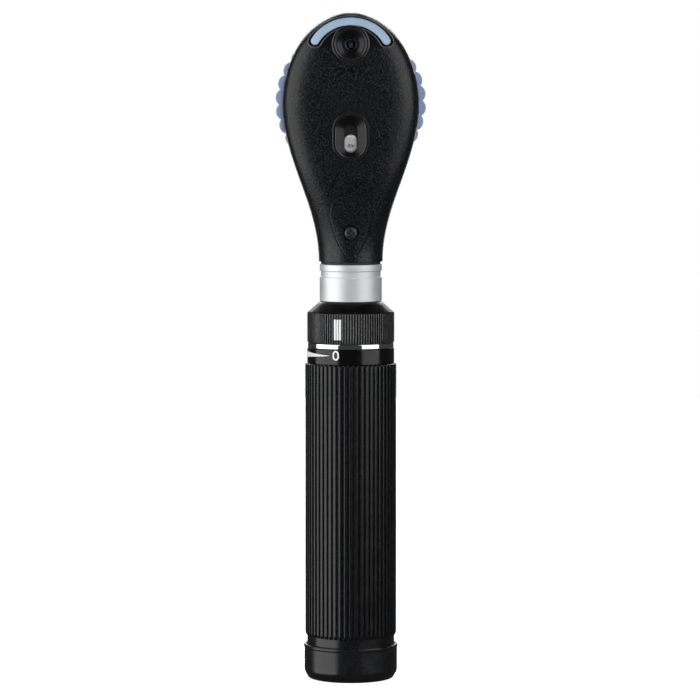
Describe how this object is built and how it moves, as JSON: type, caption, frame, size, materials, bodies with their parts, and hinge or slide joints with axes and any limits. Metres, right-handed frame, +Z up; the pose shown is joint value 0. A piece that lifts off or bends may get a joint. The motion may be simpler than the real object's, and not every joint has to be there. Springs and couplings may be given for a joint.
{
  "type": "ophthalmoscope",
  "caption": "Hand-held eye examining instrument: an oval head with a scalloped lens wheel, sight hole and light window, on a ribbed battery handle with a turning brightness ring.",
  "frame": {"origin": "centre of the flat end of the base cap, which the instrument stands on", "axes": "+Z up along the handle's axis, -Y towards the patient (the side of the head with the light window), +X to the right when that side is seen"},
  "size_m": [0.0492, 0.0308, 0.219],
  "materials": {
    "grip_black": "satin black coating on a ribbed tube",
    "cap_black": "satin black moulded plastic",
    "cell_jacket": "printed foil jacket, satin",
    "spring_steel": "plain wire and sheet",
    "gloss_black": "polished black",
    "chrome": "polished",
    "knurl_black": "satin black anodised, fluted",
    "contact_brass": "plain turned brass",
    "inner_plastic": "matt black moulded plastic",
    "track_board": "resin-bonded track",
    "satin_silver": "satin turned silver",
    "shell_black": "fine-grained matt black plastic",
    "strip_blue": "light blue, smooth",
    "wheel_blue": "muted blue, smooth",
    "clear_glass": "clear optical glass",
    "mirror_glass": "front-silvered slip",
    "brow_rubber": "soft matt rubber"
  },
  "bodies": {
    "handle": {"grip_tube": "grip_black", "battery_lower": "cell_jacket", "battery_upper": "cell_jacket", "scale_ring": "gloss_black", "chrome_ring": "chrome", "head_fitting": "spring_steel", "battery_contact": "contact_brass", "contact_insulator": "inner_plastic", "contact_pin_spring": "spring_steel", "rheostat_track": "track_board"},
    "cap_contact": {"cap_contact_plate": "spring_steel", "cap_spring": "spring_steel"},
    "cap": {"base_cap": "cap_black"},
    "dimmer": {"brightness_ring": "knurl_black", "rheostat_wiper": "contact_brass"},
    "pin": {"contact_pin": "contact_brass"},
    "head": {"neck_sleeve": "satin_silver", "neck_spacer": "inner_plastic", "front_shell": "shell_black", "rear_shell": "shell_black", "brow_strip": "strip_blue", "sight_bezel": "gloss_black", "window_bezel": "gloss_black", "mirror": "mirror_glass", "mirror_mount": "inner_plastic", "neck_cover": "shell_black", "neck_cover_screw": "spring_steel", "wheel_axle": "spring_steel", "detent_leaf": "spring_steel", "lamp_holder": "inner_plastic", "lamp_contact": "contact_brass", "lamp_base": "contact_brass", "lamp_bulb": "clear_glass", "optics_chassis": "inner_plastic", "condenser_lens": "clear_glass", "aperture_axle": "spring_steel", "optics_tube": "inner_plastic", "objective_lens": "clear_glass", "rear_eyepiece": "gloss_black", "brow_rest": "brow_rubber", "dioptre_window": "clear_glass", "shell_screw_left": "spring_steel", "shell_screw_right": "spring_steel"},
    "wheel": {"lens_wheel": "wheel_blue"},
    "aperture": {"aperture_wheel": "inner_plastic"}
  },
  "joints": [
    {"name": "dimmer_turn", "type": "hinge", "parent": "handle", "child": "dimmer", "pos_m": [0, 0, 0.1155], "axis": [0, 0, 1], "range_deg": [-170, 0]},
    {"name": "cap_travel", "type": "slide", "parent": "handle", "child": "cap_contact", "axis": [0, 0, -1], "range_m": [0, 0.006]},
    {"name": "cap_turn", "type": "hinge", "parent": "cap_contact", "child": "cap", "pos_m": [0, 0, 0.005], "axis": [0, 0, -1], "range_deg": [0, 1440]},
    {"name": "pin_press", "type": "slide", "parent": "handle", "child": "pin", "axis": [0, 0, -1], "range_m": [0, 0.0012], "stiffness_N_per_m": 300, "springref_m": -0.002, "deforming": ["contact_pin_spring"]},
    {"name": "head_twist", "type": "hinge", "parent": "handle", "child": "head", "pos_m": [0, 0, 0.128], "axis": [0, 0, 1], "range_deg": [0, 30]},
    {"name": "lens_wheel_turn", "type": "hinge", "parent": "head", "child": "wheel", "pos_m": [0, 0.0035, 0.1895], "axis": [0, 1, 0], "continuous": true},
    {"name": "aperture_turn", "type": "hinge", "parent": "head", "child": "aperture", "pos_m": [0, 0.0036, 0.1624], "axis": [0, 0, 1], "continuous": true}
  ],
  "couplings": [
    {"joint": "cap_turn", "follows": "cap_travel", "rad_per_m": 4188.8}
  ]
}
